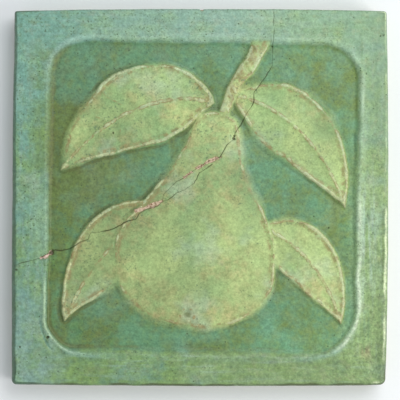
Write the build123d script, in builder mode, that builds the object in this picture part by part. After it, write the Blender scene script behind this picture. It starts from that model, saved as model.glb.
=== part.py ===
"""Square relief art tile, one press-moulded and glazed ceramic piece.

The tile lies on its flat back, face up.  Origin: centre of the back face, +Z out
of the moulded face, +Y towards the top of the picture.  Millimetres.

The face has a plain border, a soft raised lip, a sunken panel with rounded
corners, and a moulded motif in low relief: a pear hanging from a twig among four
broad leaves.  The outline is hand made, so its edges bow and its corners differ.
"""

import os
from math import cos, pi, radians, sin

from build123d import *

# ---------------------------------------------------------------- dimensions
THICK_BORDER = 15.5      # back to the flat border
LIP_RISE = 0.3           # the lip stands above the border
LIP_WIDTH = 4.2          # lip, from its foot on the border to the panel's rim
PANEL_DEPTH = 1.5        # border to the panel's ground
LIP_ROUND = 1.2          # rounded inner shoulder of the lip
PANEL_FILLET = 0.5       # wall to ground
ARRIS = 0.9              # rounded front edge of the slab
BACK_EDGE = 0.6          # eased back edge

# corners of the outline before rounding, and the middle of each bowed edge
TOP_LEFT, TOP_RIGHT = (-75.4, 75.55), (75.65, 75.5)
LOW_RIGHT, LOW_LEFT = (75.1, -76.0), (-76.3, -75.75)
MID_TOP, MID_RIGHT, MID_LOW, MID_LEFT = (0, 76.4), (76.29, 6), (0, -76.4), (-76.1, 0)
CORNER_R = (1.2, 1.5, 2.6, 2.0)  # top left, top right, low right, low left

# panel at its rim, the same way round
PANEL = ((-61.0, 63.9), (64.9, 62.2), (64.0, -63.9), (-62.9, -62.5))
PANEL_R = (15.5, 14.0, 18.5, 12.0)

GROUND_Z = THICK_BORDER - PANEL_DEPTH
SINK = 0.6               # the motif's pads reach this far below the ground

# leaves: Bezier midrib (4 points), greatest width, height above the ground
LEAVES = {
    "left": (((6, 38), (-12, 43.5), (-38, 36), (-56.5, 11)), 33.0, 1.2),
    "right": (((13, 41.5), (32, 38), (50.5, 22), (59.0, -5)), 28.5, 1.15),
    "lower_left": (((-13, -3), (-28, -11), (-45, -25), (-55.0, -50)), 26.5, 1.0),
    "lower_right": (((24, -12), (37, -16.5), (51, -29), (57.0, -51.5)), 23.0, 0.95),
}
LEAF_ROUND = 0.6         # rounded upper edge of a leaf

# half widths of the pear at heights along its own axis, foot to neck
PEAR_BODY = [
    (-34.0, 5.0), (-33.0, 13.5), (-28.0, 23.5), (-19.0, 30.6), (-8.0, 33.4),
    (4.0, 31.0), (16.0, 24.4), (27.0, 17.0), (38.0, 12.2), (48.0, 9.4), (53.5, 5.2),
]
PEAR_CENTRE = (-1.0, -19.0)
PEAR_TILT = -9.0         # degrees, neck to the right
# share of the outline and height above the ground, foot to crown
PEAR_SECTIONS = ((1.0, -SINK), (0.985, 0.7), (0.94, 1.2), (0.84, 1.6), (0.62, 1.875))

# twig: centre line, half widths, height above the ground
TWIG = [(25.5, 64.5), (21.0, 55.0), (14.5, 46.0), (9.3, 33.0)]
TWIG_HALF = [3.6, 2.8, 2.4, 2.0]
TWIG_RISE = 1.5


# ---------------------------------------------------------------- curves
def bezier(p, t):
    """Point and unit normal of a cubic Bezier."""
    k = ((1 - t) ** 3, 3 * t * (1 - t) ** 2, 3 * t * t * (1 - t), t**3)
    x, y = (sum(a * q[i] for a, q in zip(k, p)) for i in (0, 1))
    k = (3 * (1 - t) ** 2, 6 * t * (1 - t), 3 * t * t)
    dx, dy = (sum(a * (p[j + 1][i] - p[j][i]) for j, a in enumerate(k)) for i in (0, 1))
    n = (dx * dx + dy * dy) ** 0.5
    return (x, y), (-dy / n, dx / n)


def leaf_half(t):
    """Half width of a leaf along its midrib, as a share of the greatest."""
    return sin(pi * t**0.9) ** 0.85 if 0 < t < 1 else 0.0


def leaf_sides(p, width):
    """The two long edges of a leaf, base to tip."""
    left, right = [], []
    for i in range(13):
        (x, y), (nx, ny) = bezier(p, i / 12)
        h = leaf_half(i / 12) * width / 2
        left.append((x + nx * h, y + ny * h))
        right.append((x - nx * h, y - ny * h))
    return left, right


def pear_ring(share):
    """Closed outline of the pear, drawn in towards its axis by a share."""
    c, s = cos(radians(PEAR_TILT)), sin(radians(PEAR_TILT))
    mid = -4.0
    side = [(w * share, mid + (v - mid) * (0.25 + 0.75 * share)) for v, w in PEAR_BODY]
    ring = side + [(-u, v) for u, v in reversed(side)]
    return [
        (PEAR_CENTRE[0] + u * c - v * s, PEAR_CENTRE[1] + u * s + v * c)
        for u, v in ring
    ]


def round_corners(sketch, points, radii, z):
    """Rounds each corner of a sketch with its own radius."""
    for point, radius in zip(points, radii):
        fillet(sketch.vertices().sort_by_distance((*point, z))[0], radius=radius)


# ---------------------------------------------------------------- the tile
with BuildPart() as tile:
    # slab with bowed edges and rounded corners
    with BuildSketch() as outline:
        with BuildLine():
            ThreePointArc(TOP_LEFT, MID_TOP, TOP_RIGHT)
            ThreePointArc(TOP_RIGHT, MID_RIGHT, LOW_RIGHT)
            ThreePointArc(LOW_RIGHT, MID_LOW, LOW_LEFT)
            ThreePointArc(LOW_LEFT, MID_LEFT, TOP_LEFT)
        make_face()
        round_corners(outline, (TOP_LEFT, TOP_RIGHT, LOW_RIGHT, LOW_LEFT), CORNER_R, 0)
    extrude(amount=THICK_BORDER)
    fillet(tile.faces().sort_by(Axis.Z)[-1].edges(), radius=ARRIS)
    fillet(tile.faces().sort_by(Axis.Z)[0].edges(), radius=BACK_EDGE)

    # soft raised lip round the panel
    with BuildSketch(Plane.XY.offset(THICK_BORDER - 1.0)) as lip:
        Polygon(*PANEL, align=None)
        round_corners(lip, PANEL, PANEL_R, THICK_BORDER - 1.0)
        offset(amount=LIP_WIDTH, kind=Kind.ARC, mode=Mode.REPLACE)
    extrude(amount=1.0 + LIP_RISE)
    fillet(tile.faces().sort_by(Axis.Z)[-1].edges(), radius=LIP_RISE * 0.8)

    # sunken panel
    with BuildSketch(Plane.XY.offset(GROUND_Z)) as panel:
        Polygon(*PANEL, align=None)
        round_corners(panel, PANEL, PANEL_R, GROUND_Z)
    extrude(amount=PANEL_DEPTH + LIP_RISE + 1.0, mode=Mode.SUBTRACT)
    fillet(tile.faces().sort_by(Axis.Z)[-1].inner_wires()[0].edges(), radius=LIP_ROUND)
    ground = tile.faces().filter_by_position(Axis.Z, GROUND_Z - 0.01, GROUND_Z + 0.01)
    fillet(ground.edges(), radius=PANEL_FILLET)

    # leaves: low pads with rounded edges
    for midrib, width, rise in LEAVES.values():
        with BuildSketch(Plane.XY.offset(GROUND_Z - SINK)):
            with BuildLine():
                left, right = leaf_sides(midrib, width)
                Spline(*left)
                Spline(*right)
            make_face()
        extrude(amount=SINK + rise)
        fillet(tile.faces(Select.LAST).sort_by(Axis.Z)[-1].edges(), radius=LEAF_ROUND)

    # the pear, a shallow dome
    for share, rise in PEAR_SECTIONS:
        with BuildSketch(Plane.XY.offset(GROUND_Z + rise)):
            with BuildLine():
                Spline(*pear_ring(share), periodic=True)
            make_face()
    loft(ruled=True)

    # twig that the pear hangs from
    with BuildSketch(Plane.XY.offset(GROUND_Z - SINK)):
        with BuildLine():
            a = [(x + h, y - 0.4 * h) for (x, y), h in zip(TWIG, TWIG_HALF)]
            b = [(x - h, y + 0.4 * h) for (x, y), h in zip(TWIG, TWIG_HALF)]
            Spline(*a)
            Line(a[-1], b[-1])
            Spline(*reversed(b))
            Line(b[0], a[0])
        make_face()
    extrude(amount=SINK + TWIG_RISE)

tile.part.label = "tile"
os.makedirs("parts", exist_ok=True)
export_step(tile.part, "parts/tile.step")

box = tile.part.bounding_box()
print("box", box.min, box.max, "volume mm3", round(tile.part.volume))
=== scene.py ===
"""Looks of the square relief art tile: modelled glazed face, glaze material, light and camera.

All shapes are worked out in millimetres in the tile's own frame (origin at the centre of
the back, +Z out of the face) and written to the mesh in metres.
"""

import math

import bpy
import numpy as np
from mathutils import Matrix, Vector


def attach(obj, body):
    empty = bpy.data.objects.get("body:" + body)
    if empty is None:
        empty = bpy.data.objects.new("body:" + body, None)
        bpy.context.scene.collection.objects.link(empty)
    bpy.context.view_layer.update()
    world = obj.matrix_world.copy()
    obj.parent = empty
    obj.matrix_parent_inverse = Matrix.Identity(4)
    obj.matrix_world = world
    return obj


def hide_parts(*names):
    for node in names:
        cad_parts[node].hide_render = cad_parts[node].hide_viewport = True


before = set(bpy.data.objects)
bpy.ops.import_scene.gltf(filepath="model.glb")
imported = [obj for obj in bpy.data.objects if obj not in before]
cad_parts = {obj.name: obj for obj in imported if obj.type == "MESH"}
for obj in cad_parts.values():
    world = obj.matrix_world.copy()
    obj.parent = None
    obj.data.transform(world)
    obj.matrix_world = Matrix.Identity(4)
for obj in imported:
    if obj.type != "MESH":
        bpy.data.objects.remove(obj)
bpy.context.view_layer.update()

# ================================================================= dimensions (mm)
Z_BORDER = 15.5          # flat border above the back
Z_GROUND = 14.0          # sunken ground of the panel
INSET = 3.0              # the modelled face ends this far inside the outline

# corners and edge middles of the bowed outline, counter-clockwise from the low left
CORNERS = [(-76.65, -76.05), (75.35, -76.3), (75.7, 75.5), (-75.4, 75.55)]
MIDDLES = [(0.0, -76.7), (76.5, 6.0), (0.0, 76.4), (-76.5, 0.0)]
CORNER_R = [2.0, 2.6, 1.4, 1.0]
# plan width of the worn front edge: start and end of the low, right, top and left sides
ARRIS = [(1.1, 1.0), (1.8, 1.05), (0.75, 0.9), (1.6, 2.2)]
BACK_EDGE = 0.6

# foot of the panel's wall
PANEL = [(-61.8, -61.3), (62.8, -63.4), (63.8, 61.0), (-60.0, 63.3)]
PANEL_R = [12.0, 18.5, 14.0, 15.5]

# leaves: Bezier midrib, greatest width, height above the ground, vein spacing
LEAVES = [
    (((-13, -3), (-28, -11), (-45, -25), (-55.0, -50)), 26.5, 0.86, 9.0),
    (((24, -12), (37, -16.5), (51, -29), (57.0, -51.5)), 23.0, 0.82, 8.4),
    (((13, 41.5), (32, 38), (50.5, 22), (59.0, -5)), 28.5, 1.00, 9.4),
    (((6, 38), (-12, 43.5), (-38, 36), (-56.5, 11)), 33.0, 1.05, 10.2),
]

# pear: height along its axis, half width on the left and on the right
PEAR_BODY = [
    (-34.0, 5.5, 4.5), (-33.0, 13.8, 13.0), (-28.0, 23.8, 23.2), (-19.0, 30.8, 30.4),
    (-8.0, 33.4, 33.4), (4.0, 30.6, 31.4), (16.0, 23.6, 25.0), (27.0, 16.4, 17.6),
    (38.0, 12.0, 12.6), (48.0, 9.3, 9.6), (53.5, 5.2, 5.2),
]
PEAR_CENTRE = (-1.0, -19.0)
PEAR_TILT = math.radians(-9.0)

TWIG = [(25.5, 65.0), (21.0, 55.0), (14.5, 46.0), (9.3, 33.0)]
TWIG_HALF = [3.7, 2.9, 2.4, 2.1]

# hairline crack through the tile, and the broken glaze beside it
CRACK_TOP = [
    (29.6, 76.5), (29.7, 71.7), (29.9, 66.9), (29.6, 63.2), (29.2, 61.0), (29.3, 57.1),
    (29.2, 53.5), (26.8, 49.3), (24.2, 45.7), (21.8, 42.6), (21.7, 39.0), (20.6, 36.5),
    (18.5, 33.3), (16.4, 29.2), (14.1, 26.1), (13.7, 23.8), (10.9, 21.3), (7.9, 16.2),
]
CRACK_UPPER = [
    (7.9, 16.2), (3.4, 14.6), (-1.1, 11.8), (-4.7, 9.2), (-6.6, 7.9), (-9.8, 6.3),
    (-14.8, 1.3), (-15.5, -1.6),
]
CRACK_LOWER = [
    (4.7, 13.2), (-0.4, 9.9), (-1.5, 7.3), (-2.6, 5.5), (-6.2, 3.0), (-9.8, 1.6),
    (-13.1, -1.1), (-15.9, -2.0), (-17.4, -3.7),
]
CRACK_LEFT = [
    (-17.4, -3.7), (-21.6, -4.9), (-25.0, -6.8), (-26.2, -9.0), (-29.3, -9.6),
    (-33.0, -11.6), (-36.6, -13.3), (-40.8, -14.2), (-44.5, -14.5), (-45.5, -17.1),
    (-47.9, -17.9), (-50.5, -19.5), (-53.0, -21.0), (-56.3, -21.8), (-59.0, -21.4),
    (-61.1, -22.6), (-65.1, -24.9), (-68.7, -25.7), (-72.4, -26.6), (-75.2, -27.6),
]
# centre line, half width, depth, how unbroken the loss is
CHIPS = [
    ([(7.9, 16.2), (5.4, 15.3), (3.4, 14.6)], 0.42, 0.22, 0.75),
    ([(3.4, 14.6), (-1.1, 11.8), (-4.7, 9.2), (-6.6, 7.9)], 0.60, 0.18, 0.40),
    ([(-15.5, -1.6), (-18.3, -3.0), (-21.6, -4.2), (-26.2, -5.6)], 0.80, 0.28, 0.50),
    ([(-60.8, -22.6), (-62.4, -23.9), (-64.6, -24.7)], 0.50, 0.30, 0.66),
]
# open pits in the glaze: place, radius, depth
PITS = [
    (73.0, 65.2, 0.62, 0.5), (74.4, 65.7, 0.55, 0.5), (74.0, 25.6, 0.5, 0.4),
    (46.1, -7.9, 0.42, 0.4), (52.1, -12.5, 0.45, 0.4), (35.8, -33.6, 0.42, 0.4),
    (-73.0, -60.7, 0.55, 0.4), (-35.3, 26.0, 0.5, 0.35), (-74.6, -29.5, 0.7, 0.5),
    (-61.9, -56.7, 0.8, 0.6), (29.2, 61.0, 0.45, 0.5), (13.8, 24.8, 0.65, 0.6),
    (-60.4, -22.5, 1.45, 0.6), (7.9, 16.2, 0.4, 0.5), (3.4, 14.6, 0.45, 0.5), (13.5, 23.6, 0.95, 0.6),
]
# a nick in the top edge: place and half width
NICK = (0.5, 1.2)
# a groove outside the lip at the low left corner
GROOVE = [(-64.9, -49.0), (-64.5, -52.6), (-63.3, -56.7), (-61.5, -60.3), (-59.2, -63.1)]


# ================================================================= curves and noise
def arc3(a, m, b):
    """Function of 0..1 along the circle arc from a through m to b."""
    a, m, b = (np.array(p, float) for p in (a, m, b))
    k = np.array([2 * (m - a), 2 * (b - a)])
    c = np.linalg.solve(k, np.array([m @ m - a @ a, b @ b - a @ a]))
    ta, tm, tb = (math.atan2(p[1] - c[1], p[0] - c[0]) for p in (a, m, b))
    tm = ta + (tm - ta + math.pi) % (2 * math.pi) - math.pi
    tb = tm + (tb - tm + math.pi) % (2 * math.pi) - math.pi
    r = math.hypot(*(a - c))

    def at(t):
        w = ta + (tb - ta) * np.asarray(t, float)
        return np.stack([c[0] + r * np.cos(w), c[1] + r * np.sin(w)], -1)

    return at


def bezier(p, t):
    p = np.array(p, float)
    t = np.asarray(t)[:, None]
    pos = (1 - t) ** 3 * p[0] + 3 * t * (1 - t) ** 2 * p[1] + 3 * t * t * (1 - t) * p[2] + t**3 * p[3]
    d = 3 * (1 - t) ** 2 * (p[1] - p[0]) + 6 * t * (1 - t) * (p[2] - p[1]) + 3 * t * t * (p[3] - p[2])
    n = np.stack([-d[:, 1], d[:, 0]], 1) / np.linalg.norm(d, axis=1)[:, None]
    return pos, n


def rounded(corners, radii, n=16):
    """Closed line of a polygon with each corner rounded."""
    c = [np.array(p, float) for p in corners]
    out = []
    for i, p in enumerate(c):
        u, v = c[i - 1] - p, c[(i + 1) % len(c)] - p
        u, v = u / np.linalg.norm(u), v / np.linalg.norm(v)
        half = 0.5 * math.acos(float(np.clip(u @ v, -1, 1)))
        d = radii[i] / math.tan(half)
        m = p + (u + v) / np.linalg.norm(u + v) * (radii[i] / math.sin(half) - radii[i])
        out.append(arc3(p + u * d, m, p + v * d)(np.linspace(0, 1, n)))
    return np.concatenate(out)


def smooth_line(pts, n, closed):
    """Catmull-Rom curve through the points."""
    p = np.array(pts, float)
    q = np.vstack([p[-1], p, p[0], p[1]]) if closed else np.vstack([2 * p[0] - p[1], p, 2 * p[-1] - p[-2]])
    t = np.linspace(0, 1, n, endpoint=False)[:, None]
    out = [
        0.5 * (2 * b + (c - a) * t + (2 * a - 5 * b + 4 * c - d) * t * t + (3 * b - a - 3 * c + d) * t**3)
        for a, b, c, d in zip(q[:-3], q[1:-2], q[2:-1], q[3:])
    ]
    return np.vstack(out + ([] if closed else [p[-1:]]))


def line_dist(pts, line, closed=False, chunk=16000):
    """Distance to a line and the share of its length at the nearest place."""
    line = np.asarray(line, float)
    a = line if closed else line[:-1]
    b = np.roll(line, -1, 0) if closed else line[1:]
    ab = b - a
    l2 = np.maximum((ab * ab).sum(1), 1e-12)
    ln = np.sqrt(l2)
    cum = np.concatenate([[0], np.cumsum(ln)])
    dist, share = np.empty(len(pts)), np.empty(len(pts))
    for i in range(0, len(pts), chunk):
        p = pts[i : i + chunk]
        ax, ay = p[:, None, 0] - a[None, :, 0], p[:, None, 1] - a[None, :, 1]
        t = np.clip((ax * ab[:, 0] + ay * ab[:, 1]) / l2, 0, 1)
        d2 = (ax - t * ab[:, 0]) ** 2 + (ay - t * ab[:, 1]) ** 2
        k = d2.argmin(1)
        r = np.arange(len(p))
        dist[i : i + chunk] = np.sqrt(d2[r, k])
        share[i : i + chunk] = (cum[k] + t[r, k] * ln[k]) / cum[-1]
    return dist, share


def inside(pts, poly, chunk=16000):
    a, b = poly, np.roll(poly, -1, 0)
    slope = (b[:, 0] - a[:, 0]) / np.where(np.abs(b[:, 1] - a[:, 1]) < 1e-12, 1e-12, b[:, 1] - a[:, 1])
    out = np.zeros(len(pts), bool)
    for i in range(0, len(pts), chunk):
        px, py = pts[i : i + chunk, None, 0], pts[i : i + chunk, None, 1]
        hit = ((a[:, 1] > py) != (b[:, 1] > py)) & (px < slope * (py - a[:, 1]) + a[:, 0])
        out[i : i + chunk] = hit.sum(1) % 2 == 1
    return out


def near(pts, line, reach):
    """Indices of the points within reach of the line's box."""
    lo, hi = line.min(0) - reach, line.max(0) + reach
    return np.nonzero(((pts > lo) & (pts < hi)).all(1))[0]


def signed(pts, poly):
    """Distance to a closed line, positive inside."""
    d, _ = line_dist(pts, poly, True)
    return np.where(inside(pts, poly), d, -d)


def hash2(ix, iy, seed):
    h = (ix.astype(np.int64) * 374761393 + iy.astype(np.int64) * 668265263 + seed * 1442695041) & 0xFFFFFFFF
    h = ((h ^ (h >> 13)) * 1274126177) & 0xFFFFFFFF
    return ((h ^ (h >> 16)) & 0xFFFFFFFF) / 4294967295.0


def vnoise(x, y, seed):
    ix, iy = np.floor(x), np.floor(y)
    fx, fy = x - ix, y - iy
    u, v = fx**3 * (fx * (fx * 6 - 15) + 10), fy**3 * (fy * (fy * 6 - 15) + 10)
    a, b = hash2(ix, iy, seed), hash2(ix + 1, iy, seed)
    c, d = hash2(ix, iy + 1, seed), hash2(ix + 1, iy + 1, seed)
    return 2 * ((a * (1 - u) + b * u) * (1 - v) + (c * (1 - u) + d * u) * v) - 1


def fbm(x, y, seed, octaves=3):
    """Smooth noise between about -1 and 1, one unit to a wave."""
    s, amp, tot = 0.0, 1.0, 0.0
    for k in range(octaves):
        s = s + amp * vnoise(x * 2**k + 17.3 * k, y * 2**k - 9.1 * k, seed + 7 * k)
        tot += amp
        amp *= 0.5
    return s / tot * 1.6


def sstep(a, b, x):
    t = np.clip((x - a) / (b - a), 0, 1)
    return t * t * (3 - 2 * t)


def hump(d, w):
    return np.exp(-((d / w) ** 2))


# ================================================================= outline
class Outline:
    """The bowed outline with rounded corners, and the same line drawn in by INSET."""

    def __init__(self):
        c = [np.array(p, float) for p in CORNERS]
        m = [np.array(p, float) for p in MIDDLES]
        self.arcs = [arc3(c[i], m[i], c[(i + 1) % 4]) for i in range(4)]
        tangent = lambda i, t: self.unit(self.arcs[i](min(t + 1e-3, 1)) - self.arcs[i](max(t - 1e-3, 0)))
        self.trim, self.corner = [], []
        inner = []
        for i in range(4):
            u, v = -tangent(i - 1, 1.0), tangent(i, 0.0)
            half = 0.5 * math.acos(float(np.clip(u @ v, -1, 1)))
            d = CORNER_R[i] / math.tan(half)
            mid = c[i] + self.unit(u + v) * (CORNER_R[i] / math.sin(half) - CORNER_R[i])
            self.corner.append(arc3(c[i] + u * d, mid, c[i] + v * d))
            self.trim.append(d)
            inner.append(c[i] + (u + v) * INSET)
        self.inner = []
        for i in range(4):
            t = tangent(i, 0.5)
            self.inner.append(arc3(inner[i], m[i] + np.array([-t[1], t[0]]) * INSET, inner[(i + 1) % 4]))
        self.length = [float(np.linalg.norm(c[(i + 1) % 4] - c[i])) for i in range(4)]

    @staticmethod
    def unit(v):
        return v / np.linalg.norm(v)

    def side(self, i, t):
        """Place on side i of the outline, between its rounded corners."""
        lo, hi = self.trim[i] / self.length[i], 1 - self.trim[(i + 1) % 4] / self.length[i]
        return self.arcs[i](lo + (hi - lo) * np.asarray(t, float))

    def face(self, u, v):
        """Coons patch over the inner line: u, v in 0..1 to x, y."""
        low, right = self.inner[0](u), self.inner[1](v)
        top, left = self.inner[2](1 - u), self.inner[3](1 - v)
        p00, p10 = self.inner[0](0.0), self.inner[0](1.0)
        p01, p11 = self.inner[2](1.0), self.inner[2](0.0)
        u, v = u[:, None], v[:, None]
        ruled = (1 - v) * low + v * top + (1 - u) * left + u * right
        return ruled - ((1 - u) * (1 - v) * p00 + u * (1 - v) * p10 + (1 - u) * v * p01 + u * v * p11)

    def line(self):
        out = []
        for i in range(4):
            out.append(self.corner[i](np.linspace(0, 1, 6)))
            out.append(self.side(i, np.linspace(0, 1, 22)[1:-1]))
        return np.concatenate(out)


OUT = Outline()
OUT_LINE = OUT.line()
PANEL_LINE = rounded(PANEL, PANEL_R)


def leaf_half(t):
    return np.sin(np.pi * np.clip(t, 0, 1) ** 0.9) ** 0.85


def leaf_line(p, width):
    t = np.linspace(0.001, 0.999, 64)
    pos, n = bezier(p, t)
    h = leaf_half(t)[:, None] * width / 2
    return np.vstack([pos + n * h, (pos - n * h)[::-1]])


def pear_line():
    c, s = math.cos(PEAR_TILT), math.sin(PEAR_TILT)
    ring = [(b, v) for v, a, b in PEAR_BODY] + [(-a, v) for v, a, b in reversed(PEAR_BODY)]
    return smooth_line(
        [(PEAR_CENTRE[0] + u * c - v * s, PEAR_CENTRE[1] + u * s + v * c) for u, v in ring], 8, True
    )


LEAF_LINES = [leaf_line(p, w) for p, w, _, _ in LEAVES]
LEAF_RIBS = [bezier(p, np.linspace(0, 1, 48))[0] for p, _, _, _ in LEAVES]
PEAR_LINE = pear_line()
TWIG_LINE = smooth_line(TWIG, 10, False)


# ================================================================= relief of the face
def ridge(p, d, soft):
    """Raised line along a motif's edge, lumpy, gone where the edge is soft."""
    lumpy = 1 + 0.45 * fbm(p[:, 0] / 2.3, p[:, 1] / 2.3, 57, 2)
    return 0.38 * lumpy * (1 - soft) ** 1.1 * hump(d - 0.85 - 0.5 * soft, 0.80 + 0.5 * soft)


def leaf_relief(p, k, soft):
    """Signed distance to the leaf's edge and its height above the ground."""
    _, width, rise, gap = LEAVES[k]
    x, y = p[:, 0], p[:, 1]
    d = signed(p, LEAF_LINES[k]) + 0.50 * fbm(x / 12, y / 12, 40 + k, 1) + 0.20 * fbm(x / 5, y / 5, 44 + k, 2)
    rib = LEAF_RIBS[k]
    m, t = line_dist(p, rib)
    run = np.linalg.norm(np.diff(rib, axis=0), axis=1).sum()
    i = np.clip((t * (len(rib) - 1)).astype(int), 0, len(rib) - 2)
    step = rib[i + 1] - rib[i]
    rel = p - rib[i]
    side = np.sign(step[:, 0] * rel[:, 1] - step[:, 1] * rel[:, 0])
    q = np.clip(m / np.maximum(leaf_half(t) * width / 2, 0.5), 0, 1)
    fold = np.clip(0.72 + 0.42 * fbm(x / 13, y / 13, 50 + k, 2), 0.1, 1.2)
    z = rise - 0.22 * sstep(0.8, 5.5, d) + 0.40 * (1 - q) ** 2 + ridge(p, d, soft)
    z = z + (0.48 - 0.20 * t) * (1 + 0.35 * fbm(x / 2.6, y / 2.6, 58, 2)) * hump(m, 1.4 - 0.5 * t) * sstep(1.0, 0.86, t) * sstep(-0.02, 0.06, t) * fold
    z = z - 0.05 * hump(m - 2.6, 1.2) * sstep(1.0, 0.85, t)
    # each side of the blade sways between its veins
    along = t * run - 1.05 * m + 0.035 * m * m + 0.7 * fbm(x / 9, y / 9, 60 + k, 1)
    w = (along / gap) + 0.25 * side
    near_vein = np.abs(w - np.round(w)) * gap * 0.7
    fade = sstep(0.9, 2.8, m) * sstep(0.4, 3.4, d) * sstep(0.0, 0.12, t) * sstep(1.0, 0.84, t)
    z = z + (0.15 * hump(near_vein, 0.65) - 0.05 * np.cos(2 * math.pi * w)) * fade * fold
    return d, z


def pear_relief(p, soft):
    x, y = p[:, 0], p[:, 1]
    d = signed(p, PEAR_LINE) + 0.50 * fbm(x / 14, y / 14, 70, 1) + 0.20 * fbm(x / 6, y / 6, 71, 2)
    c, s = math.cos(-PEAR_TILT), math.sin(-PEAR_TILT)
    rx, ry = x - PEAR_CENTRE[0], y - PEAR_CENTRE[1]
    u, v = rx * c - ry * s, rx * s + ry * c
    dome = 1 - (1 - np.clip(d / 25.0, 0, 1)) ** 2
    z = 0.80 + 0.92 * np.maximum(dome, 0) ** 0.78 + ridge(p, d, soft)
    # strokes of the modelling tool, along the fruit
    z = z + 0.07 * fbm(u / 4.0, v / 17, 73, 2) * sstep(1.5, 5, d)
    # calyx at the foot
    r = np.hypot(u - 0.3, (v + 29.0) * 1.2)
    star = 0.5 + 0.5 * np.cos(5 * np.arctan2(v + 29.0, u - 0.3) + 0.6)
    z = z - 0.42 * hump(r, 1.6) + 0.24 * hump(r - 2.9, 1.0) * (0.4 + 0.8 * star)
    # hollow that the stalk sits in
    z = z - 0.35 * hump(np.hypot(u, (v - 51.5) * 0.9), 2.8)
    return d, z


def twig_relief(p, soft):
    m, t = line_dist(p, TWIG_LINE)
    half = np.interp(t, np.linspace(0, 1, len(TWIG_HALF)), TWIG_HALF)
    half = half * (1 + 0.20 * hump(t - 0.42, 0.06) + 0.14 * hump(t - 0.70, 0.04))
    d = half - m + 0.18 * fbm(p[:, 0] / 3, p[:, 1] / 3, 81, 2)
    z = 0.40 + 1.05 * np.sqrt(np.clip(1 - (m / (half + 0.3)) ** 2, 0, 1)) * (1 - 0.3 * soft)
    z = z + 0.07 * fbm((p[:, 0] + 0.55 * p[:, 1]) / 1.4, (p[:, 1] - 0.55 * p[:, 0]) / 7.0, 82, 2)
    return d, z


def relief(p):
    """Height of the moulded face before the damage, with the shares of the raised motif and the panel,
    the inner foot of the motif's ridges, the crest of the lip and the foot of the panel's wall."""
    x, y = p[:, 0], p[:, 1]
    d_out = signed(p, OUT_LINE)
    d_pan = signed(p, PANEL_LINE) + 0.30 * fbm(x / 8, y / 8, 5, 2)
    # the panel stands a little to the left below its middle
    by_left = sstep(-40, -58, x)
    d_pan = d_pan - 0.9 * sstep(40, 58, x) * sstep(24, 4, y) * sstep(-68, -56, y)
    d_pan = d_pan + by_left * sstep(-60, -48, y) * (0.15 * sstep(10, -6, y) + 0.45 * sstep(-28, -38, y))
    broad, mid = fbm(x / 27, y / 27, 3, 2), fbm(x / 9, y / 9, 11, 2)
    z = Z_BORDER + 0.10 * broad + 0.07 * mid + 0.022 * fbm(x / 3.4, y / 3.4, 15, 2) - 0.34 * np.exp(-np.maximum(d_out, 0) / 2.4)
    # soft lip round the panel, crispest on the left and along the low right
    crisp = sstep(-45, -57, x) * np.clip(0.55 - 0.45 * y / 60, 0.1, 1)
    crisp = np.maximum(crisp, sstep(35, 60, x) * (0.72 + 0.38 * sstep(8, -25, y)))
    crisp = np.maximum(crisp, 0.55 * sstep(40, 58, y))
    firm = np.clip(0.60 + 0.40 * fbm(x / 19, y / 19, 7, 2) + 0.50 * crisp, 0.1, 1.4)
    firm = firm * (1 - 0.8 * sstep(-45, -57, x) * sstep(-15, 15, y) * sstep(54, 36, y))
    firm = firm * (1 - 0.55 * sstep(-50, -58, y) * sstep(-46, -32, x) * sstep(44, 28, x))
    top = 1.6 + 1.2 * (1 - crisp) - by_left * (0.5 * sstep(12, -4, y) + 0.4 * sstep(-14, -26, y))
    full = sstep(45, 58, x) * sstep(12, -12, y)
    z = z + 0.27 * firm * hump(d_pan + top + 0.3 + 0.4 * full, 0.9 + 0.9 * (1 - crisp) + 0.4 * full) - 0.08 * hump(d_pan + top + 2.8, 1.5)
    lip = np.clip(firm, 0, 1) * hump(d_pan + top + 0.2 + 0.5 * full, 0.8 + 0.7 * (1 - crisp) + 0.5 * full)
    g = near(p, np.array(GROOVE), 3)
    if len(g):
        dg, tg = line_dist(p[g], smooth_line(GROOVE, 6, False))
        z[g] -= 0.34 * hump(dg, 0.55) * sstep(0, 0.2, tg) * sstep(1, 0.8, tg)
    # wall and ground
    wall = sstep(0, 1, (d_pan + top) / (top + 0.5 + 0.9 * (1 - crisp)))
    ground = Z_GROUND + 0.10 * fbm(x / 15, y / 15, 13, 2) + 0.05 * mid - 0.06 * hump(d_pan - 1.2, 1.0)
    z = z * (1 - wall) + ground * wall
    foot = hump(d_pan + 0.1, 1.6)
    motif, seam = np.zeros(len(p)), np.zeros(len(p))
    stack = [(LEAF_LINES[k], lambda q, soft, k=k: leaf_relief(q, k, soft)) for k in range(4)]
    stack += [(TWIG_LINE, twig_relief), (PEAR_LINE, pear_relief)]
    for k, (line, shape) in enumerate(stack):
        i = near(p, line, 6.5)
        if not len(i):
            continue
        soft = sstep(-0.35, 0.85, fbm(x[i] / 17, y[i] / 17, 20 + k, 2))
        d, rise = shape(p[i], soft)
        low, high = 0.7 + 1.3 * soft, 0.5 + 1.5 * soft
        a = sstep(0, 1, (d + low) / (low + high)) * sstep(-2.6, -0.6, d_pan[i])
        z[i] -= 0.09 * (1 - soft) * hump(d + 1.25, 0.7) * (1 - a) * sstep(-0.5, 0.8, d_pan[i])
        z[i] = z[i] * (1 - a) + (Z_GROUND + rise) * a
        motif[i] = np.maximum(motif[i], a)
        seam[i] = np.where(a > 0.5, (1 - soft) * hump(d - 2.15, 0.8), seam[i])
    z = z + 0.018 * fbm(x / 2.6, y / 2.6, 17, 2)
    return z, motif, wall, seam, lip, foot * (1 - motif)


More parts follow.
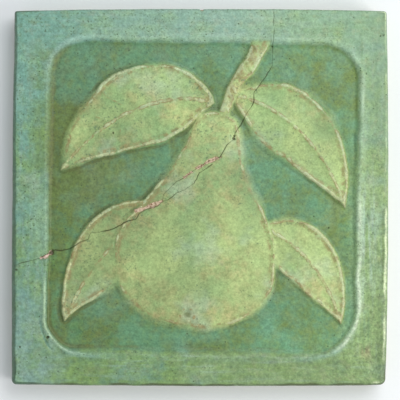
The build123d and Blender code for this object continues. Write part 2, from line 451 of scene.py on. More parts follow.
def jagged(line, seed, step=1.15, amp=0.17):
    """The line broken into short straight runs that step from side to side."""
    line = np.array(line, float)
    out = [line[0]]
    for a, b in zip(line[:-1], line[1:]):
        n = max(1, int(round(np.linalg.norm(b - a) / step)))
        side = np.array([-(b - a)[1], (b - a)[0]]) / np.linalg.norm(b - a)
        for i in range(1, n + 1):
            k = np.array([float(len(out))])
            off = (hash2(k, k * 3 + 1, seed)[0] - 0.5) * 2 * amp * (i < n)
            out.append(a + (b - a) * (i / n) + side * off)
    return np.array(out)


# line, half width, depth
CRACKS = [
    (jagged(CRACK_TOP, 1), 0.15, 0.40), (jagged(CRACK_UPPER, 2), 0.12, 0.30),
    (jagged(CRACK_LOWER, 3), 0.15, 0.35), (jagged(CRACK_LEFT, 4), 0.17, 0.40),
]


def damage(p):
    """Depth lost to the crack, the chips and the pits, with the share of each at a point."""
    n = len(p)
    depth, crack, chip, pit = np.zeros(n), np.zeros(n), np.zeros(n), np.zeros(n)
    for k, (line, width, deep) in enumerate(CRACKS):
        i = near(p, line, 1.5)
        if not len(i):
            continue
        q = p[i]
        d, t = line_dist(q, line)
        w = width * np.clip(1 + 0.65 * fbm(q[:, 0] / 3.8, q[:, 1] / 3.8, 98 + k, 2), 0.62, 1.8)
        thin = 1 - 0.35 * sstep(46, 58, q[:, 1])
        w = w * thin
        if k == 3:
            w = w * (0.45 + 0.55 * sstep(1.0, 0.90, t))
        depth[i] = np.maximum(depth[i], deep * np.clip(1 - d / (1.2 * w), 0, 1))
        crack[i] = np.maximum(crack[i], thin * sstep(1.35 * w, 0.4 * w, d))
    for k, (line, half, deep, whole) in enumerate(CHIPS):
        line = np.array(line)
        i = near(p, line, 2.5)
        if not len(i):
            continue
        q = p[i]
        d, t = line_dist(q, line)
        run = t * np.linalg.norm(np.diff(line, axis=0), axis=1).sum()
        ragged = 0.6 * fbm(q[:, 0] / 0.95, q[:, 1] / 0.95, 110 + k, 2) + 0.7 * fbm(run / 2.3, d / 0.9, 115 + k, 2)
        a = sstep(0.24, -0.20, d - half + 0.55 * ragged - (whole - 0.6))
        depth[i] = np.maximum(depth[i], a * deep * (1 + 0.35 * fbm(q[:, 0] / 0.7, q[:, 1] / 0.7, 120 + k, 2)))
        chip[i] = np.maximum(chip[i], np.maximum(a, 0.2 * whole * hump(d, 1.5)))
    for x, y, r, deep in PITS:
        i = near(p, np.array([[x, y]]), 2.0)
        if not len(i):
            continue
        q = p[i]
        d = np.hypot(q[:, 0] - x, q[:, 1] - y) * (1 + 0.25 * fbm(q[:, 0] / 0.6, q[:, 1] / 0.6, 130, 1))
        a = sstep(r, 0.25 * r, d)
        depth[i] = np.maximum(depth[i], deep * a)
        pit[i] = np.maximum(pit[i], a)
    return depth, crack, chip, pit


# ================================================================= fields on an even grid
GRID = 0.3
GN = 520
axis = (np.arange(GN) - (GN - 1) / 2) * GRID
gx, gy = np.meshgrid(axis, axis)
grid_points = np.stack([gx.ravel(), gy.ravel()], 1)
grid_z = relief(grid_points)[0].reshape(GN, GN)


def blur(f, mm):
    """Gaussian blur of a grid field."""
    k = np.fft.fftfreq(2 * GN, GRID)
    w = np.exp(-2 * (math.pi * mm) ** 2 * (k[:, None] ** 2 + k[None, : GN + 1] ** 2))
    big = np.pad(f, ((0, GN), (0, GN)), mode="symmetric")
    return np.fft.irfft2(np.fft.rfft2(big) * w, s=big.shape)[:GN, :GN]


def sample(f, p):
    """Bilinear value of a grid field at points."""
    u = np.clip((p[:, 0] - axis[0]) / GRID, 0, GN - 1.001)
    v = np.clip((p[:, 1] - axis[0]) / GRID, 0, GN - 1.001)
    i, j = u.astype(int), v.astype(int)
    a, b = u - i, v - j
    return (f[j, i] * (1 - a) + f[j, i + 1] * a) * (1 - b) + (f[j + 1, i] * (1 - a) + f[j + 1, i + 1] * a) * b


fine = grid_z - blur(grid_z, 0.85)
wide = grid_z - blur(grid_z, 2.3)
grid_edge = np.clip(fine / 0.13, 0, 1.6) * 0.75 + np.clip(wide / 0.5, 0, 1.4) * 0.25
grid_pool = np.clip(-fine / 0.14, 0, 1.4) * 0.75 + np.clip(-wide / 0.6, 0, 1.2) * 0.25
bend = np.zeros_like(grid_z)
bend[1:-1] = np.abs(grid_z[2:] - 2 * grid_z[1:-1] + grid_z[:-2])
bend[:, 1:-1] = np.maximum(bend[:, 1:-1], np.abs(grid_z[:, 2:] - 2 * grid_z[:, 1:-1] + grid_z[:, :-2]))
bend[1:-1, 1:-1] = np.maximum(
    bend[1:-1, 1:-1],
    0.25 * np.abs(grid_z[2:, 2:] - grid_z[2:, :-2] - grid_z[:-2, 2:] + grid_z[:-2, :-2]),
)

# ================================================================= mesh of the face
BASE = 112               # cells along a side before they divide
LEVELS = 3


def halve(a):
    """Any of the four children."""
    return a[::2, ::2] | a[1::2, ::2] | a[::2, 1::2] | a[1::2, 1::2]


def grow(a):
    out = a.copy()
    p = np.pad(a, 1)
    n = a.shape[0]
    for i in range(3):
        for j in range(3):
            out |= p[i : i + n, j : j + n]
    return out


n2 = BASE * 4
c = (np.arange(n2) + 0.5) / n2
cu, cv = np.meshgrid(c, c)
cells = OUT.face(cu.ravel(), cv.ravel())
cell_bend = sample(bend, cells).reshape(n2, n2)
to_damage = np.full(n2 * n2, 9.0)
for line, _, _ in CRACKS:
    i = near(cells, line, 3)
    to_damage[i] = np.minimum(to_damage[i], line_dist(cells[i], line)[0])
for line, half, _, _ in CHIPS:
    i = near(cells, np.array(line), 3)
    to_damage[i] = np.minimum(to_damage[i], line_dist(cells[i], np.array(line))[0] - half)
for x, y, r, _ in PITS:
    to_damage = np.minimum(to_damage, np.hypot(cells[:, 0] - x, cells[:, 1] - y) - r)
to_damage = np.minimum(to_damage, np.hypot(cells[:, 0] - NICK[0], cells[:, 1] - MIDDLES[2][1] + INSET) - NICK[1])
to_damage = to_damage.reshape(n2, n2)

split2 = to_damage < 0.36                                   # level 2 cells that divide
split1 = halve(grow(split2))
split1 |= halve((cell_bend > 0.024) | (to_damage < 0.7))
split0 = halve(grow(split1)) | halve(halve(cell_bend > 0.0065))
splits = [split0, split1, split2, np.zeros((BASE * 8, BASE * 8), bool)]

TOP_N = BASE * 2**LEVELS
faces_quad, faces_fan = [], []
for level in range(LEVELS + 1):
    n = BASE * 2**level
    exists = np.ones((n, n), bool)
    if level:
        exists = np.repeat(np.repeat(splits[level - 1], 2, 0), 2, 1)
    leaf = exists & ~splits[level]
    finer = np.pad(splits[level] & exists, 1)
    low, high = finer[:-2, 1:-1], finer[2:, 1:-1]           # rows run along v
    left, right = finer[1:-1, :-2], finer[1:-1, 2:]
    s = TOP_N // n
    plain = leaf & ~(low | high | left | right)
    j, i = np.nonzero(plain)
    faces_quad.append(np.stack([i * s, j * s, (i + 1) * s, j * s, (i + 1) * s, (j + 1) * s, i * s, (j + 1) * s], 1))
    for j, i in zip(*np.nonzero(leaf & ~plain)):
        ring = [(i * s, j * s)]
        if low[j, i]:
            ring.append((i * s + s // 2, j * s))
        ring.append(((i + 1) * s, j * s))
        if right[j, i]:
            ring.append(((i + 1) * s, j * s + s // 2))
        ring.append(((i + 1) * s, (j + 1) * s))
        if high[j, i]:
            ring.append((i * s + s // 2, (j + 1) * s))
        ring.append((i * s, (j + 1) * s))
        if left[j, i]:
            ring.append((i * s, j * s + s // 2))
        faces_fan.append(((i * s + s // 2, j * s + s // 2), ring))

quads = np.concatenate(faces_quad).reshape(-1, 4, 2)
fan_tris = np.array(
    [(m, ring[k], ring[(k + 1) % len(ring)]) for m, ring in faces_fan for k in range(len(ring))]
).reshape(-1, 3, 2)
key = lambda a: a[..., 0].astype(np.int64) * (TOP_N + 1) + a[..., 1]
ids, back = np.unique(np.concatenate([key(quads).ravel(), key(fan_tris).ravel()]), return_inverse=True)
quads = back[: quads.shape[0] * 4].reshape(-1, 4)
fan_tris = back[quads.shape[0] * 4 :].reshape(-1, 3)
lat_u, lat_v = ids // (TOP_N + 1), ids % (TOP_N + 1)
face_xy = OUT.face(lat_u / TOP_N, lat_v / TOP_N)

# the face's own border, counter-clockwise, by side
sides = []
for pick, order in (
    (lat_v == 0, lat_u), (lat_u == TOP_N, lat_v), (lat_v == TOP_N, -lat_u), (lat_u == 0, -lat_v),
):
    k = np.nonzero(pick)[0]
    sides.append(k[np.argsort(order[k])])

# ================================================================= rim, sides and back
rim_in, rim_out, rim_side, rim_arris = [], [], [], []
for s in range(4):
    k = sides[s]
    share = (lat_u[k] if s in (0, 2) else lat_v[k]) / TOP_N
    share = share if s < 2 else 1 - share
    rim_in += list(k)
    rim_out.append(OUT.side(s, share))
    rim_side += [s] * len(k)
    rim_arris += list(ARRIS[s][0] + (ARRIS[s][1] - ARRIS[s][0]) * share)
    turn = np.linspace(0, 1, 9)[1:-1]
    nxt = (s + 1) % 4
    rim_in += [k[-1]] * len(turn)
    rim_out.append(OUT.corner[nxt](turn))
    rim_side += [s] * len(turn)
    rim_arris += list(ARRIS[s][1] + (ARRIS[nxt][0] - ARRIS[s][1]) * turn)
rim_in, rim_out = np.array(rim_in), np.concatenate(rim_out)
rim_side, rim_arris = np.array(rim_side), np.array(rim_arris)
M = len(rim_in)
for _ in range(30):      # the rounding changes slowly from side to side
    rim_arris = (np.roll(rim_arris, 1) + 2 * rim_arris + np.roll(rim_arris, -1)) / 4
step = np.linalg.norm(np.roll(rim_out, -1, 0) - rim_out, axis=1)
around = np.concatenate([[0], np.cumsum(step)[:-1]])
inner_xy = face_xy[rim_in]
inward = inner_xy - rim_out
reach = np.linalg.norm(inward, axis=1)
inward = inward / reach[:, None]
# hand-made wander of the edge
tau = 2 * math.pi * around / step.sum()
wander = 0.07 * fbm(np.cos(tau) * 7, np.sin(tau) * 7, 151, 3) + 0.03 * fbm(np.cos(tau) * 40, np.sin(tau) * 40, 152, 2)
rim_out = rim_out - inward * wander[:, None]

loops = []               # (x, y, z, kind) from the face outwards, down and under
rim_arris = rim_arris * (1 + 0.16 * fbm(around / 7, around / 60, 155, 3))
# shares of the edge's width and drop, from the face to the side
BEVEL = [(2.2, 0.0), (1.35, 0.0), (1.05, 0.01), (0.88, 0.07), (0.50, 0.50), (0.17, 0.95), (0.04, 1.20), (0.0, 1.45)]
for wide, low in BEVEL:
    e = np.minimum(rim_arris * wide, reach - 0.25 + 0.05 * wide)
    loops.append([rim_out + inward * e[:, None], rim_arris * low, "front"])
for n_loop in loops:
    n_loop[1] = relief(n_loop[0])[0] - n_loop[1]
edge_foot = loops[-1][1]
ROWS = 5
for r in range(1, ROWS + 1):
    z = edge_foot + (BACK_EDGE - edge_foot) * r / ROWS
    bow = 0.10 * fbm(np.cos(tau) * 12 + z / 9, np.sin(tau) * 12 - z / 7, 153, 2) * math.sin(math.pi * r / ROWS)
    loops.append([rim_out - inward * bow[:, None], z, "side"])
for a in (1, 2, 3):
    w = a / 3 * math.pi / 2
    loops.append([
        rim_out + inward * (BACK_EDGE * (1 - math.cos(w))), np.full(M, BACK_EDGE * (1 - math.sin(w))), "back",
    ])
loops.append([rim_out + inward * 7.0, np.zeros(M), "back"])

face_z, face_motif, face_wall, face_seam, face_lip, face_foot = relief(face_xy)
depth, crack, chip, pit = damage(face_xy)
face_z = face_z - depth

n_face = len(face_xy)
verts = [np.column_stack([face_xy, face_z])]
edge_v = [sample(grid_edge, face_xy)]
pool_v = [sample(grid_pool, face_xy)]
motif_v, wall_v = [face_motif], [face_wall]
seam_v, lip_v, foot_v = [face_seam], [face_lip], [face_foot]
crack_v, chip_v, pit_v = [crack], [chip], [pit]
clay_v, rim_v = [np.zeros(n_face)], [np.zeros(n_face)]
zero = np.zeros(M)
glaze_line = 2.1 + 0.9 * fbm(np.cos(tau) * 9, np.sin(tau) * 9, 161, 3)     # where the glaze stops on the sides
# front edge: painted highlight on the slope on the right, which faces the light, with darker lines inside and outside
# it; thin pale glaze on the upper corner on the left; painted shade on the left slope and along the top, which face
# away from the light; darker in patches along the low edge
rim_noise = np.clip(0.65 + 0.65 * fbm(around / 7, around / 55, 165, 3), 0.15, 1.3)
at_right = sstep(60, 74, rim_out[:, 0]) * (np.clip(0.75 - 0.006 * rim_out[:, 1], 0, 1.1) + 0.5 * sstep(60, 72, rim_out[:, 1]))
at_left = sstep(-60, -74, rim_out[:, 0])
at_low = sstep(-66, -74, rim_out[:, 1]) * (1.35 - rim_noise)
at_top = sstep(66, 74, rim_out[:, 1])
nick = at_top * sstep(0.55, 0.95, hump(rim_out[:, 0] - NICK[0], NICK[1]) * (1 + 0.25 * fbm(around / 0.7, around / 40, 167, 2)))
worn = 0.75 * hump(rim_out[:, 0] - 71.0, 3.0) * sstep(-70, -74, rim_out[:, 1]) * np.clip(0.3 + 1.6 * fbm(around / 1.3, around / 50, 169, 2), 0, 1)
# rows over the loops of the front edge: painted highlight with darker lines beside it on the right, a paler upper
# corner on the left, painted shade on the left slope and along the top, darker along the low edge
PALE_RIGHT = [-0.3, -0.45, 0.5, 1.0, 0.65, 0.0, -0.3, -0.6]
PALE_LEFT = [0.1, 0.5, 0.3, 0.0, 0.0, 0.0, 0.0, 0.0]
LEFT_SHADE = [0.0, -0.1, -0.25, -0.5, -0.7, -0.75, -0.7, -0.4]
DARK_LOW = [0.0, -0.1, -0.35, -0.8, -0.9, -0.9, -0.8, -0.4]
TOP_SHADE = [0.0, 0.0, 0.0, -0.1, -0.2, -0.25, -0.2, -0.1]
for k, (xy, z, kind) in enumerate(loops):
    depth, crk, chp, pt = damage(xy) if kind == "front" else (zero, zero, zero, zero)
    if kind == "side":
        jag = 0.35 * fbm(z / 3.0, around / 9.0, 163, 2)
        crk = sstep(0.30, 0.08, np.abs(xy[:, 0] - 29.6 - jag)) * (xy[:, 1] > 70)
    if kind == "front":
        lost = nick * max(0.0, 1 - BEVEL[k][0] / 1.35)
        depth, chp = np.maximum(depth, 0.25 * lost), np.maximum(chp, 0.6 * lost)
        xy = xy + inward * (0.35 * lost)[:, None]
    verts.append(np.column_stack([xy, z - np.minimum(depth, 0.25)]))
    edge_v.append(zero)
    pool_v.append(zero)
    if kind == "front":
        # painted highlight on the right slope and painted shade on the left slope and the top, with the darker low
        # edge, pale wear and the nick
        lines = PALE_RIGHT[k] * at_right * rim_noise + DARK_LOW[k] * at_low + TOP_SHADE[k] * at_top + (0 < k < 4) * worn + 1.2 * lost
        rim_v.append(lines + at_left * (LEFT_SHADE[k] + PALE_LEFT[k] * np.clip(0.6 - 0.006 * rim_out[:, 1], 0, 1)))
    else:
        rim_v.append(zero)
    motif_v.append(zero)
    wall_v.append(zero)
    seam_v.append(zero)
    lip_v.append(zero)
    foot_v.append(zero)
    crack_v.append(crk)
    chip_v.append(chp)
    pit_v.append(pt)
    bare = sstep(0.45, -0.45, z - glaze_line) if kind == "side" else np.full(M, 1.0 if kind == "back" else 0.0)
    clay_v.append(bare)
verts = np.concatenate(verts)
fields = {
    "edge": edge_v, "pool": pool_v, "motif": motif_v, "wall": wall_v, "seam": seam_v, "lip": lip_v, "foot": foot_v,
    "crack": crack_v, "chip": chip_v, "pit": pit_v, "clay": clay_v, "rim": rim_v,
}
fields = {k: np.concatenate(v).astype(np.float32) for k, v in fields.items()}

# bake layout: the face takes most of the square, the sides lie in strips, the back is small
UV_S = 0.80 / 154.0


def uv_front(xy):
    return (xy + 77.0) * UV_S + 0.006


polys, poly_uv = [], []


def add(rows, uv):
    polys.extend(rows.tolist())
    poly_uv.append(uv.reshape(-1, 2))


face_uv = uv_front(face_xy)
add(quads, face_uv[quads])
add(fan_tris, face_uv[fan_tris])
k0 = np.arange(M)
k1 = (k0 + 1) % M
travel = np.concatenate([[0], np.cumsum(step)])
side_start = np.array([travel[np.nonzero(rim_side == s)[0][0]] for s in range(4)])
for r, (xy, z, kind) in enumerate(loops):
    ring = n_face + r * M
    if r == 0:
        same = rim_in[k0] == rim_in[k1]
        q = np.stack([rim_in[k0], ring + k0, ring + k1, rim_in[k1]], 1)
        t = q[same][:, :3]
        q = q[~same]
        arc_uv = uv_front(xy)
        look = np.concatenate([face_uv, arc_uv])
        add(q, look[q])
        add(t, look[t])
        continue
    prev = n_face + (r - 1) * M
    q = np.stack([prev + k0, ring + k0, ring + k1, prev + k1], 1)
    if kind == "front":
        # the rounding is laid out by its length along the curve
        hop = np.linalg.norm(verts[ring : ring + M] - verts[prev : prev + M], axis=1)
        new_uv = arc_uv - inward * (hop * UV_S)[:, None]
        add(q, np.stack([arc_uv[k0], new_uv[k0], new_uv[k1], arc_uv[k1]], 1))
        arc_uv = new_uv
    elif kind == "side":
        s = rim_side[k0]
        a0 = (travel[:-1] - side_start[s]) * UV_S
        a1 = (travel[1:] - side_start[s]) * UV_S
        z0, z1 = verts[prev : prev + M, 2] * UV_S, verts[ring : ring + M, 2] * UV_S
        corners = []
        for a, zz in ((a0, z0[k0]), (a0, z1[k0]), (a1, z1[k1]), (a1, z0[k1])):
            upright = s >= 2
            u = np.where(upright, 0.832 + (s - 2) * 0.086 + zz * 0.98, 0.006 + a)
            v = np.where(upright, 0.006 + a, 0.832 + s * 0.086 + zz * 0.98)
            corners.append(np.stack([u, v], 1))
        add(q, np.stack(corners, 1))
    else:
        small = lambda p: (p + 78.0) / 156.0 * 0.15 + 0.842
        p0 = verts[prev : prev + M, :2] - inward * verts[prev, 2]
        p1 = verts[ring : ring + M, :2] - inward * verts[ring, 2]
        add(q, small(np.stack([p0[k0], p1[k0], p1[k1], p0[k1]], 1)))
last = n_face + (len(loops) - 1) * M
polys.append([last + i for i in range(M - 1, -1, -1)])
poly_uv.append((verts[last : last + M, :2][::-1] + 78.0) / 156.0 * 0.15 + 0.842)

mesh = bpy.data.meshes.new("tile_glazed")
flat_index = np.concatenate([np.asarray(p) for p in polys])
counts = np.array([len(p) for p in polys])
mesh.vertices.add(len(verts))
mesh.vertices.foreach_set("co", (verts / 1000.0).astype(np.float32).ravel())
mesh.loops.add(len(flat_index))
mesh.loops.foreach_set("vertex_index", flat_index.astype(np.int32))
mesh.polygons.add(len(polys))
mesh.polygons.foreach_set("loop_start", np.concatenate([[0], np.cumsum(counts)[:-1]]).astype(np.int32))
mesh.polygons.foreach_set("loop_total", counts.astype(np.int32))
mesh.update(calc_edges=True)
uv_layer = mesh.uv_layers.new(name="OFBake")
uv_layer.data.foreach_set("uv", np.concatenate(poly_uv).astype(np.float32).ravel())
mesh.polygons.foreach_set("use_smooth", np.array([True] * (len(polys) - 1) + [False]))
for name, values in fields.items():
    mesh.attributes.new(name, "FLOAT", "POINT").data.foreach_set("value", values)
mesh.validate()
mesh.update()
tile = bpy.data.objects.new("tile_glazed", mesh)
bpy.context.scene.collection.objects.link(tile)
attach(tile, "root")
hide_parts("tile")
print("tile: vertices", len(verts), "triangles", int((counts - 2).sum()))


# ================================================================= glaze
def linear(rgb):
    c = np.array(rgb, float) / 255.0
    return tuple(float(v) for v in np.where(c <= 0.04045, c / 12.92, ((c + 0.055) / 1.055) ** 2.4)) + (1.0,)


class Graph:
    """Short names for the shader nodes used here. Positions are in millimetres."""

    def __init__(self, name):
        self.mat = bpy.data.materials.new(name)
        self.mat.use_nodes = True
        self.tree = self.mat.node_tree
        self.tree.nodes.clear()
        self.out = self.make("ShaderNodeOutputMaterial")
        self.bsdf = self.make("ShaderNodeBsdfPrincipled")
        self.link(self.bsdf.outputs[0], self.out.inputs["Surface"])
        coord = self.make("ShaderNodeTexCoord")
        self.pos = self.vec("SCALE", coord.outputs["Object"], scale=1000.0)

    def make(self, kind):
        return self.tree.nodes.new(kind)

    def link(self, a, b):
        if hasattr(a, "is_output"):
            self.tree.links.new(a, b)
        else:
            b.default_value = a

    def vec(self, op, a, b=None, scale=None):
        n = self.make("ShaderNodeVectorMath")
        n.operation = op
        self.link(a, n.inputs[0])
        if b is not None:
            self.link(b, n.inputs[1])
        if scale is not None:
            n.inputs["Scale"].default_value = scale
        return n.outputs[0]

    def math(self, op, a, b=0.0, clamp=False):
        n = self.make("ShaderNodeMath")
        n.operation = op
        n.use_clamp = clamp
        self.link(a, n.inputs[0])
        self.link(b, n.inputs[1])
        return n.outputs[0]

    def noise(self, mm, detail=2.0, rough=0.5, stretch=None, shift=0.0):
        n = self.make("ShaderNodeTexNoise")
        p = self.pos
        if stretch:
            p = self.vec("MULTIPLY", p, stretch)
        if shift:
            p = self.vec("ADD", p, (shift, -0.7 * shift, 0.4 * shift))
        self.link(p, n.inputs["Vector"])
        n.inputs["Scale"].default_value = 1.0 / mm
        n.inputs["Detail"].default_value = detail
        n.inputs["Roughness"].default_value = rough
        return n.outputs["Fac"]

    def cells(self, mm, shift=0.0):
        n = self.make("ShaderNodeTexVoronoi")
        p = self.pos if not shift else self.vec("ADD", self.pos, (shift, shift, 0.0))
        self.link(p, n.inputs["Vector"])
        n.inputs["Scale"].default_value = 1.0 / mm
        return n.outputs["Distance"], n.outputs["Color"]

    def field(self, name):
        n = self.make("ShaderNodeAttribute")
        n.attribute_name = name
        return n.outputs["Fac"]

    def ramp(self, x, a, b, lo=0.0, hi=1.0):
        n = self.make("ShaderNodeMapRange")
        n.interpolation_type = "SMOOTHSTEP"
        self.link(x, n.inputs["Value"])
        for k, v in (("From Min", a), ("From Max", b), ("To Min", lo), ("To Max", hi)):
            n.inputs[k].default_value = v
        return n.outputs["Result"]

    def mix(self, f, a, b, how="MIX"):
        n = self.make("ShaderNodeMix")
        n.data_type = "RGBA"
        n.blend_type = how
        n.clamp_factor = True
        self.link(f, n.inputs[0])
        for v, i in ((a, 6), (b, 7)):
            self.link(v if hasattr(v, "is_output") else linear(v), n.inputs[i])
        return n.outputs[2]

    def shade(self, col, f):
        """Colour times a number."""
        n = self.make("ShaderNodeVectorMath")
        n.operation = "SCALE"
        self.link(col, n.inputs[0])
        self.link(f, n.inputs["Scale"])
        return n.outputs[0]

    def axes(self):
        n = self.make("ShaderNodeSeparateXYZ")
        self.link(self.pos, n.inputs[0])
        return n.outputs


g = Graph("matte_green_glaze")
X, Y, _ = g.axes()
F = {k: g.field(k) for k in fields}
drift = g.noise(36, 2, 0.5)
cloud = g.noise(17, 2, 0.55, shift=19)
blotch = g.noise(9.0, 3, 0.55, shift=31)
patch = g.noise(4.2, 3, 0.6, shift=77)
mottle = g.noise(1.75, 3, 0.6, shift=113)
grain = g.noise(0.72, 2, 0.6, shift=9)


def swing(n, by):
    """Noise about zero."""
    return g.math("MULTIPLY", g.math("SUBTRACT", n, 0.5), by)


# hue runs from blue-green at the top to yellow-green at the bottom
run = g.math("ADD", g.math("MULTIPLY", X, 0.0012), g.math("MULTIPLY", Y, -0.0042))
wave = g.math("ADD", g.math("ADD", swing(drift, 1.2), swing(blotch, 1.5)), swing(patch, 0.9))
smooth = g.math("MAXIMUM", g.ramp(Y, 55.0, 66.0, 0.0, 0.25), g.math("MULTIPLY", g.ramp(X, 52.0, 64.0), g.ramp(Y, 0.0, 30.0, 0.0, 0.42)))
wave = g.math("MULTIPLY", wave, g.math("SUBTRACT", 1.0, smooth))
hue = g.math("ADD", g.math("ADD", run, 0.54), wave)

border = g.mix(g.ramp(g.math("ADD", hue, g.ramp(X, -74.0, -52.0, -0.16, 0.04)), 0.0, 1.0), (119, 165, 147), (131, 164, 96))
border = g.mix(g.ramp(X, -40.0, 80.0, 0.0, 0.24), border, (178, 194, 148))
# brushed along the border
across = g.ramp(g.math("SUBTRACT", g.math("ABSOLUTE", Y), g.math("ABSOLUTE", X)), -4.0, 4.0)
streak = g.math("ADD", g.math("MULTIPLY", across, g.noise(1.9, 3, 0.6, stretch=(0.10, 1.0, 1.0), shift=61)),
                g.math("MULTIPLY", g.math("SUBTRACT", 1.0, across), g.noise(1.9, 3, 0.6, stretch=(1.0, 0.10, 1.0), shift=51)))
border = g.mix(g.ramp(streak, 0.46, 0.74, 0.0, 0.42), border, g.mix(g.ramp(X, -30.0, 40.0), (154, 185, 172), (160, 188, 160)))
border = g.mix(g.ramp(streak, 0.50, 0.28, 0.0, 0.35), border, (110, 146, 104))
border = g.mix(g.ramp(g.noise(3.2, 3, 0.6, shift=131), 0.48, 0.74, 0.0, 0.34), border, g.mix(g.ramp(X, -60.0, 60.0), (142, 150, 112), (168, 172, 132)))
lit = g.math("ADD", g.math("MULTIPLY", X, 0.0003), g.math("MULTIPLY", Y, 0.0010))
lit = g.math("SUBTRACT", lit, g.ramp(X, 67.0, 73.5, 0.0, 0.12))
lit = g.math("SUBTRACT", lit, g.math("MULTIPLY", g.ramp(X, 69.0, 73.0), g.ramp(Y, -34.0, -45.0, 0.0, 0.09)))
lit = g.math("ADD", lit, g.ramp(X, -56.0, -64.0, 0.0, 0.035))
lit = g.math("ADD", lit, g.math("MULTIPLY", g.ramp(X, 55.0, 64.0), g.ramp(Y, 40.0, -10.0, -0.005, 0.06)))
lit = g.math("SUBTRACT", lit, g.math("MULTIPLY", g.ramp(Y, -60.0, -66.0, 0.0, 0.055), g.ramp(X, -20.0, 20.0)))
corner = g.math("MULTIPLY", g.ramp(Y, 58.0, 66.0), g.ramp(X, 28.0, 48.0))
lit = g.math("SUBTRACT", lit, g.math("MULTIPLY", corner, 0.02))
border = g.shade(border, g.math("ADD", g.math("ADD", swing(patch, 0.40), swing(blotch, 0.20)), g.math("ADD", lit, 0.90)))
# olive patch on the inner border at the upper left, frosty along the top and on the right,
# smeared at the low right, milky grey-blue at the low left
olive = g.math("MULTIPLY", g.math("MULTIPLY", g.ramp(X, -71.0, -65.0), g.ramp(X, -50.0, -58.0)), g.math("MULTIPLY", g.ramp(Y, -2.0, 12.0), g.ramp(Y, 68.0, 54.0)))
border = g.mix(g.math("MULTIPLY", olive, g.ramp(g.noise(8.0, 3, 0.6, shift=91), 0.30, 0.60, 0.0, 0.75)), border, (112, 140, 84))
frost = g.math("MULTIPLY", g.ramp(Y, 61.0, 66.0, 0.0, 0.24), g.math("MULTIPLY", g.ramp(X, -66.0, -25.0), g.ramp(X, 50.0, 25.0)))
haze = g.math("MULTIPLY", g.math("MULTIPLY", g.ramp(X, 62.0, 66.0), g.ramp(X, 73.0, 70.0)), g.math("MULTIPLY", g.ramp(Y, 14.0, -14.0), g.ramp(Y, -46.0, -22.0)))
frost = g.math("ADD", frost, g.math("MULTIPLY", haze, g.ramp(g.math("ADD", streak, swing(blotch, 0.6)), 0.36, 0.66, 0.0, 0.55)))
border = g.mix(frost, border, (168, 192, 172))
border = g.mix(g.math("MULTIPLY", corner, 0.18), border, (148, 178, 118))
smear = g.math("MULTIPLY", g.math("MULTIPLY", g.ramp(X, 63.5, 66.0), g.ramp(X, 71.0, 68.0)), g.math("MULTIPLY", g.ramp(Y, -40.0, -50.0), g.ramp(Y, -68.0, -62.0)))
smear = g.math("MULTIPLY", smear, g.ramp(g.noise(2.4, 3, 0.6, stretch=(1.0, 0.22, 1.0), shift=447), 0.42, 0.62, 0.0, 0.60))
border = g.mix(smear, border, g.mix(g.ramp(Y, -58.0, -63.0), (108, 138, 96), (166, 156, 118)))
milk = g.math("MULTIPLY", g.ramp(X, -52.0, -62.0), g.ramp(Y, -24.0, -52.0))
band = g.math("MULTIPLY", g.ramp(X, -70.0, -65.0), g.ramp(X, -52.0, -58.0))
band = g.math("MULTIPLY", band, g.math("MULTIPLY", g.ramp(Y, 6.0, -4.0), g.ramp(Y, -30.0, -18.0)))
border = g.mix(g.math("MULTIPLY", band, 0.60), border, (148, 182, 148))
border = g.mix(g.math("MULTIPLY", milk, g.ramp(g.noise(9.0, 3, 0.6, shift=97), 0.36, 0.64, 0.10, 0.62)), border, (142, 172, 164))
# the ground is teal, olive-brown along the left and olive at the upper right
umber = g.math("MULTIPLY", g.ramp(X, -15.0, -45.0), g.math("MULTIPLY", g.ramp(Y, -10.0, 8.0), g.ramp(Y, 46.0, 26.0)))
ground_run = g.math("ADD", g.math("MULTIPLY", umber, 0.80), g.math("MULTIPLY", g.math("MULTIPLY", g.ramp(X, 25.0, 50.0), g.ramp(Y, 20.0, 45.0)), 0.46))
ground_run = g.math("ADD", ground_run, g.math("MULTIPLY", Y, -0.0015))
beside = g.math("MULTIPLY", g.ramp(X, -46.0, -56.0), g.math("MULTIPLY", g.ramp(Y, 12.0, 0.0), g.ramp(Y, -46.0, -30.0)))
ground_run = g.math("ADD", ground_run, g.math("MULTIPLY", beside, 0.45))
ground_run = g.math("ADD", ground_run, g.math("MULTIPLY", g.math("MULTIPLY", g.ramp(X, 10.0, 35.0), g.ramp(Y, -40.0, -54.0)), -0.14))
ground_hue = g.math("ADD", g.math("ADD", ground_run, 0.38), g.math("ADD", wave, g.math("ADD", swing(patch, 0.5), swing(mottle, 0.5))))
ground = g.mix(g.ramp(ground_hue, 0.0, 1.0), (102, 148, 110), (106, 128, 68))
ground = g.mix(g.ramp(g.noise(6.5, 2, 0.5, shift=143), 0.46, 0.70, 0.0, 0.38), ground, g.mix(g.ramp(X, -45.0, 20.0), (110, 114, 66), (116, 134, 88)))
ground = g.mix(g.ramp(g.noise(9.0, 3, 0.55, shift=151), 0.46, 0.74, 0.0, 0.48), ground, g.mix(g.math("MULTIPLY", g.ramp(X, 0.0, -40.0), g.ramp(Y, 15.0, -20.0)), (106, 152, 126), (96, 148, 88)))
ground = g.shade(ground, g.math("ADD", g.math("ADD", swing(cloud, 0.36), swing(patch, 0.22)), g.math("ADD", g.math("MULTIPLY", X, 0.0020), g.math("ADD", g.math("MULTIPLY", g.math("MULTIPLY", g.ramp(X, 10.0, 35.0), g.ramp(Y, -44.0, -56.0)), 0.07), g.math("SUBTRACT", 0.995, g.math("MULTIPLY", umber, 0.05))))))
figure_hue = g.math("ADD", g.math("ADD", swing(drift, 1.4), swing(cloud, 1.8)), g.math("ADD", swing(blotch, 0.8), g.math("ADD", run, 0.54)))
figure = g.mix(g.ramp(figure_hue, 0.0, 1.0), (144, 179, 119), (163, 184, 120))
